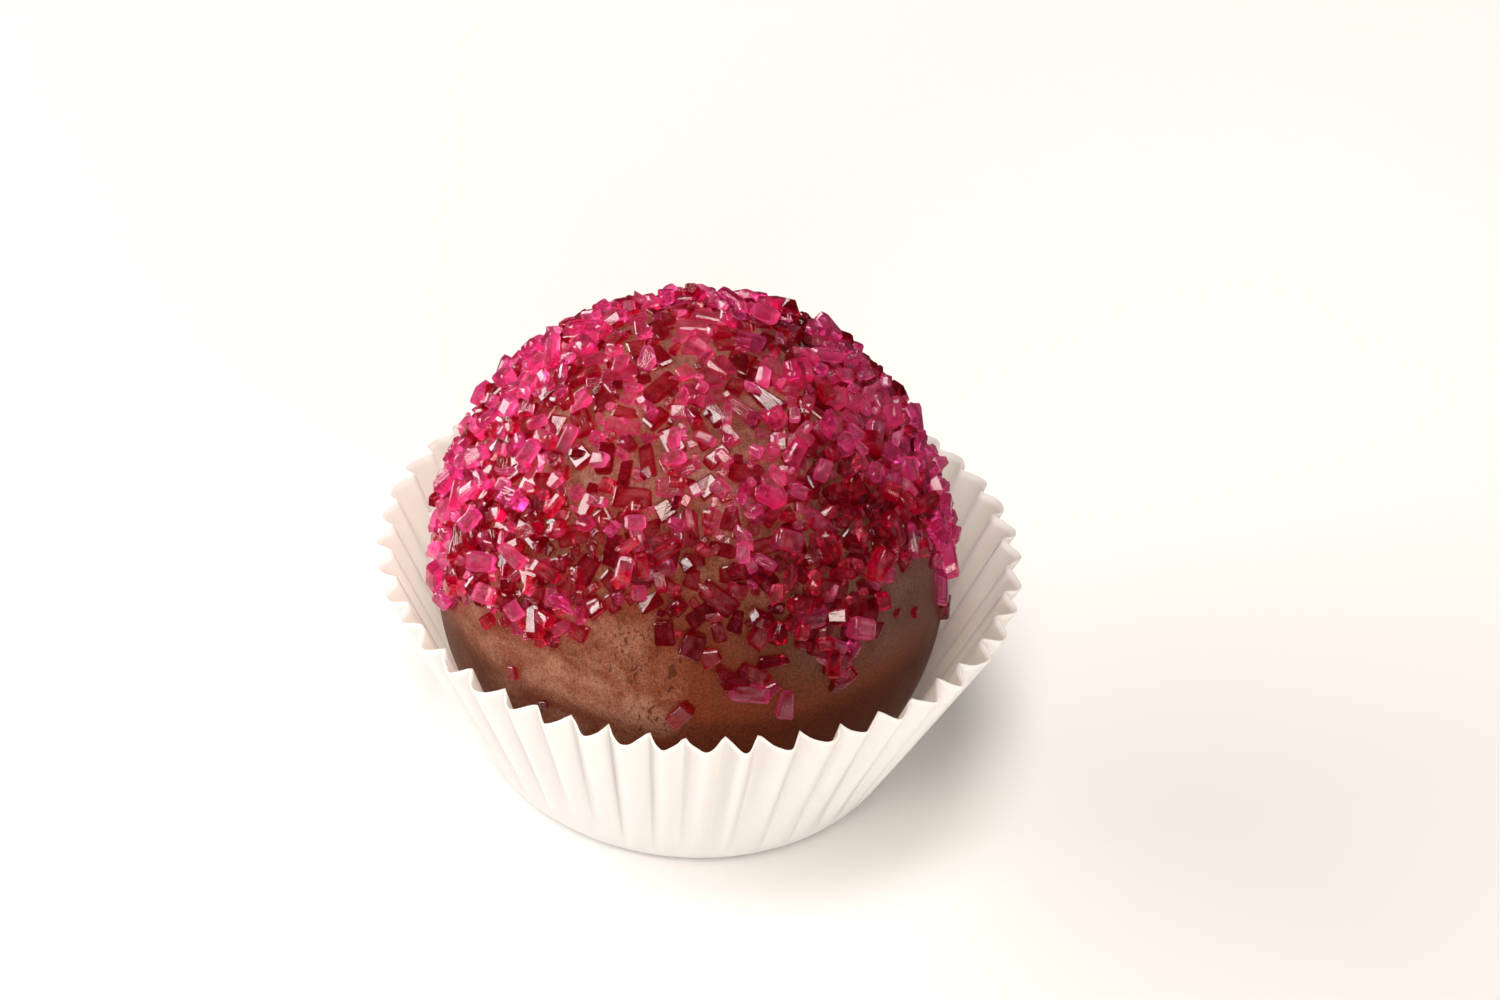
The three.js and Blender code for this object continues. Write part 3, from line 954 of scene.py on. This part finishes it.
def sugar_ground(draw):
    """Random places on the truffle where sugar may lie, thinning out just above the sugar's edge."""
    ways = draw.normal(size=(GROUND_PLACES, 3))
    ways /= np.linalg.norm(ways, axis=1, keepdims=True)
    points = body_points(ways)
    points = points[points[:, 2] > LOWEST_SUGAR]
    away = points - np.array(TRUFFLE_CENTRE)
    azimuths = np.degrees(np.arctan2(away[:, 1], away[:, 0]))
    edges = np.array([sugar_edge(azimuth) for azimuth in azimuths])
    above_edge = np.clip((points[:, 2] - edges) / EDGE_FADE, 0.0, 1.0)
    chance = above_edge * (1.0 - near_any(points, BARE_SPOTS))
    return points[draw.uniform(size=len(points)) < chance]


class Bed:
    """The grains laid so far, each as a flat rectangle on the truffle.

    A row holds a rectangle's centre, its two directions, its half length and its half width.
    """

    def __init__(self):
        self.rows = np.empty((0, 11))

    def is_clear(self, centre, along, across, half_long, half_wide):
        """True if this rectangle overlaps none of those laid."""
        near = self.rows[np.abs(self.rows[:, 0:3] - centre).max(axis=1) < CLEAR_DISTANCE]
        if len(near) == 0:
            return True
        away = near[:, 0:3] - centre
        their_along, their_across = near[:, 3:6], near[:, 6:9]
        apart = np.zeros(len(near), dtype=bool)
        for way in (along, across):
            theirs = near[:, 9] * np.abs(their_along @ way) + near[:, 10] * np.abs(their_across @ way)
            own = half_long if way is along else half_wide
            apart |= np.abs(away @ way) > own + theirs
        for ways, half in ((their_along, near[:, 9]), (their_across, near[:, 10])):
            own = half_long * np.abs(ways @ along) + half_wide * np.abs(ways @ across)
            apart |= np.abs(np.einsum("ij,ij->i", away, ways)) > own + half
        return bool(apart.all())

    def lay(self, centre, along, across, half_long, half_wide):
        row = np.concatenate([centre, along, across, [half_long, half_wide]])
        self.rows = np.vstack([self.rows, row])


def grain_sizes(draw, count, middle, largest):
    """Lengths and widths of grains, the largest first."""
    widths = draw.lognormal(math.log(middle), WIDTH_SPREAD, count)
    widths = np.clip(widths, NARROWEST_GRAIN, largest)
    lengths = widths * (1.0 + LONG_SHARE * draw.uniform(size=count) ** LONG_POWER)
    lengths = np.minimum(lengths, LONGEST_WIDTHS * largest)
    order = np.argsort(-widths * lengths)
    return np.stack([lengths, widths], axis=1)[order]


def spread(draw, bed, ground, sizes, room):
    """A place and two directions for each grain that finds room, the largest grains first."""
    found = []
    for length, width in sizes:
        for index in draw.integers(len(ground), size=TRIES):
            centre = ground[index]
            normal = normal_at(centre)
            along, across = ways_along(normal, draw.uniform(0.0, math.pi))
            halves = (0.5 * length * room, 0.5 * width * room)
            if bed.is_clear(centre, along, across, *halves):
                bed.lay(centre, along, across, *halves)
                found.append((centre, normal, along, across, length, width))
                break
    return found


def set_grain(draw, found, thickness, lift, tilt, kind, shade):
    """A grain in its found place, its underside lifted off the surface and the whole of it tilted."""
    centre, normal, along, across, length, width = found
    flat = Matrix((along, across, normal)).transposed().to_quaternion()
    lean_way = draw.uniform(0.0, 2.0 * math.pi)
    lean = Quaternion((math.cos(lean_way), math.sin(lean_way), 0.0), tilt)
    place = centre + normal * (lift + 0.5 * thickness)
    turn = tuple((flat @ lean).to_euler())
    size = (length, width, thickness)
    return {"place": place, "size": size, "turn": turn, "kind": kind, "shade": shade}


def stray_grains(draw, bed):
    """The grains of the list of strays, each a little sunk in the coating."""
    grains = []
    for azimuth, height, length, width, turn in STRAYS:
        centre = surface_point(azimuth, height)
        normal = normal_at(centre)
        along, across = ways_along(normal, math.radians(turn))
        bed.lay(centre, along, across, 0.5 * length, 0.5 * width)
        thickness = STRAY_THICKNESS * width
        lift = -STRAY_SINK * thickness
        found = (centre, normal, along, across, length, width)
        kind = int(draw.choice(FLUSH_KINDS))
        grains.append(set_grain(draw, found, thickness, lift, STRAY_TILT, kind, draw.uniform()))
    return grains


def flush_grains(draw, bed, ground, sizes):
    """Grains pressed flat into the chocolate."""
    grains = []
    for found in spread(draw, bed, ground, sizes, FLUSH_ROOM):
        thickness = found[5] * draw.uniform(*GRAIN_THICKNESS)
        lift = draw.uniform(*FLUSH_PROUD) * MM - thickness
        tilt = abs(draw.normal()) * FLUSH_TILT
        kind = int(draw.choice(FLUSH_KINDS))
        grains.append(set_grain(draw, found, thickness, lift, tilt, kind, draw.uniform()))
    return grains


def loose_grains(draw, ground, heap):
    """Grains lying on the others: a few everywhere, and two layers of them where the sugar is heaped."""
    grains = []
    layers = ((0.0, LOOSE_GRAINS, 0.10 + 0.90 * heap), (HEAP_LIFT, HEAPED_GRAINS, heap))
    for lift, sort, share in layers:
        open_ground = ground[draw.uniform(size=len(ground)) < share]
        for found in spread(draw, Bed(), open_ground, grain_sizes(draw, *sort), LOOSE_ROOM):
            thickness = found[5] * draw.uniform(*GRAIN_THICKNESS)
            tilt = math.radians(draw.uniform(*LOOSE_TILT))
            kind = int(draw.choice(LOOSE_KINDS))
            grains.append(set_grain(draw, found, thickness, lift, tilt, kind, draw.uniform()))
    return grains


def pink_chance(place, least, rise):
    """Chance of a pale grain: higher at the sides and on top (painted light), low in spots of painted
    shade.
    """
    aside = abs(place[0] - TRUFFLE_CENTRE.x)
    outer = np.interp(aside, LIT_PALE_ASIDE, (0.0, rise))
    upper = np.interp(place[2], LIT_PALE_UP, (0.0, rise))
    deep = near_any(np.array([place]), SHADED_SPOTS)[0]
    return (least + outer + upper) * (1.0 - SHADED_SPOT_SHARE * deep)


def make_sugar(ruby, pink):
    """All the sugar, in two pieces: the dark grains and the pale ones."""
    draw = np.random.default_rng(GRAIN_SEED)
    shapes = crystal_shapes()
    bed = Bed()
    strays = stray_grains(draw, bed)
    ground = sugar_ground(draw)
    flush = flush_grains(draw, bed, ground, grain_sizes(draw, *FLUSH_GRAINS))
    loose = loose_grains(draw, ground, near_any(ground, HEAPS))
    small_draw = np.random.default_rng(SMALL_SEED)
    small = flush_grains(small_draw, bed, ground, grain_sizes(small_draw, *SMALL_GRAINS))
    pale = [strays[index] for index in PALE_STRAYS]
    dark = [grain for index, grain in enumerate(strays) if index not in PALE_STRAYS]
    # Pale grains gather at the sides and on top as painted light, and few lie in the spot of painted shade.
    for grains, shares in ((flush, FLUSH_PALE), (loose, LOOSE_PALE), (small, SMALL_PALE)):
        for grain in grains:
            chosen = pale if draw.uniform() < pink_chance(grain["place"], *shares) else dark
            chosen.append(grain)
    for name, grains, material in (("sugar_ruby", dark, ruby), ("sugar_pink", pale, pink)):
        points = points_object("grain_points", grains)
        mesh = grown(points, sugar_tree(shapes, material), material, {"Grain Scale": 1.0})
        bpy.data.objects.remove(points)
        crystals = new_object(name, mesh)
        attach(crystals, "root")
        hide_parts("truffle")
    for shape in list(shapes.objects):
        bpy.data.objects.remove(shape)
    bpy.data.collections.remove(shapes)


# ---------------------------------------------------------------------------
# Stage, light and camera
# ---------------------------------------------------------------------------

FLOOR_HALF = 1.5
LAMP_DISTANCE = 0.9


def make_floor(material):
    """A wide floor at the height of the case's underside. Shiny surfaces don't mirror it."""
    corners = [(x * FLOOR_HALF, y * FLOOR_HALF, 0.0) for x, y in ((-1, -1), (1, -1), (1, 1), (-1, 1))]
    mesh = bpy.data.meshes.new("floor")
    mesh.from_pydata(corners, [], [(0, 1, 2, 3)])
    mesh.materials.append(material)
    floor = new_object("floor", mesh)
    floor.visible_glossy = False


def area_light(name, azimuth, elevation, width, height, power, colour):
    """A lamp panel that looks at the truffle from an azimuth and elevation in degrees."""
    data = bpy.data.lights.new(name, "AREA")
    data.shape = "RECTANGLE"
    data.size, data.size_y = width, height
    data.energy = power
    data.color = colour
    lamp = bpy.data.objects.new(name, data)
    bpy.context.scene.collection.objects.link(lamp)
    around, up = math.radians(azimuth), math.radians(elevation)
    away = Vector((math.cos(around) * math.cos(up), math.sin(around) * math.cos(up), math.sin(up)))
    lamp.location = TRUFFLE_CENTRE + away * LAMP_DISTANCE
    lamp.rotation_euler = away.to_track_quat("Z", "Y").to_euler()
    return lamp


def make_light():
    """A broad low window on the left, low panels in front and on the right, and three lamps higher up.

    Of those, the soft box and the panel overhead show in the crystals, and the weak fill doesn't.
    """
    world = bpy.data.worlds.new("studio")
    world.use_nodes = True
    backdrop = world.node_tree.nodes["Background"]
    backdrop.inputs["Color"].default_value = (1.0, 0.96, 0.92, 1.0)
    backdrop.inputs["Strength"].default_value = 0.02
    bpy.context.scene.world = world
    area_light("window", 169, 14, 1.15, 0.5, 16.2, (1.0, 0.985, 0.975))
    front = area_light("front_panel", -88, 11, 0.8, 0.4, 5.2, (0.98, 0.97, 1.0))
    front.visible_glossy = False
    right = area_light("right_panel", -45, 9, 0.6, 0.3, 3.0, (1.0, 0.89, 0.77))
    right.visible_glossy = False
    area_light("soft_box", -96, 59, 0.28, 0.28, 2.6, (1.0, 0.88, 0.78))
    area_light("top_panel", -90, 88, 0.36, 0.36, 4.2, (1.0, 0.96, 0.925))
    fill = area_light("fill_panel", -75, 36, 0.5, 0.5, 0.8, (1.0, 0.96, 0.92))
    fill.visible_glossy = False
    settings = bpy.context.scene.view_settings
    settings.view_transform = "Standard"
    settings.exposure = 0.0


def make_camera():
    """A long lens that looks down at the truffle, rolled a little about its own line of sight."""
    data = bpy.data.cameras.new("camera")
    data.lens = CAMERA_LENS
    data.sensor_width = CAMERA_SENSOR
    data.clip_start = 0.01
    data.clip_end = 10.0
    camera = bpy.data.objects.new("camera", data)
    bpy.context.scene.collection.objects.link(camera)
    back = Vector((0.0, -math.cos(CAMERA_ELEVATION), math.sin(CAMERA_ELEVATION)))
    side = Vector((1.0, 0.0, 0.0))
    up = Vector((0.0, math.sin(CAMERA_ELEVATION), math.cos(CAMERA_ELEVATION)))
    rolled_side = math.cos(CAMERA_ROLL) * side + math.sin(CAMERA_ROLL) * up
    rolled_up = math.cos(CAMERA_ROLL) * up - math.sin(CAMERA_ROLL) * side
    turn = Matrix((rolled_side, rolled_up, back)).transposed()
    camera.matrix_world = Matrix.Translation(CAMERA_TARGET + back * CAMERA_DISTANCE) @ turn.to_4x4()
    bpy.context.scene.camera = camera


make_camera()
make_floor(floor_material())
make_light()
make_case(paper_material())
make_chocolate(chocolate_material())
make_sugar(ruby_sugar(), pink_sugar())
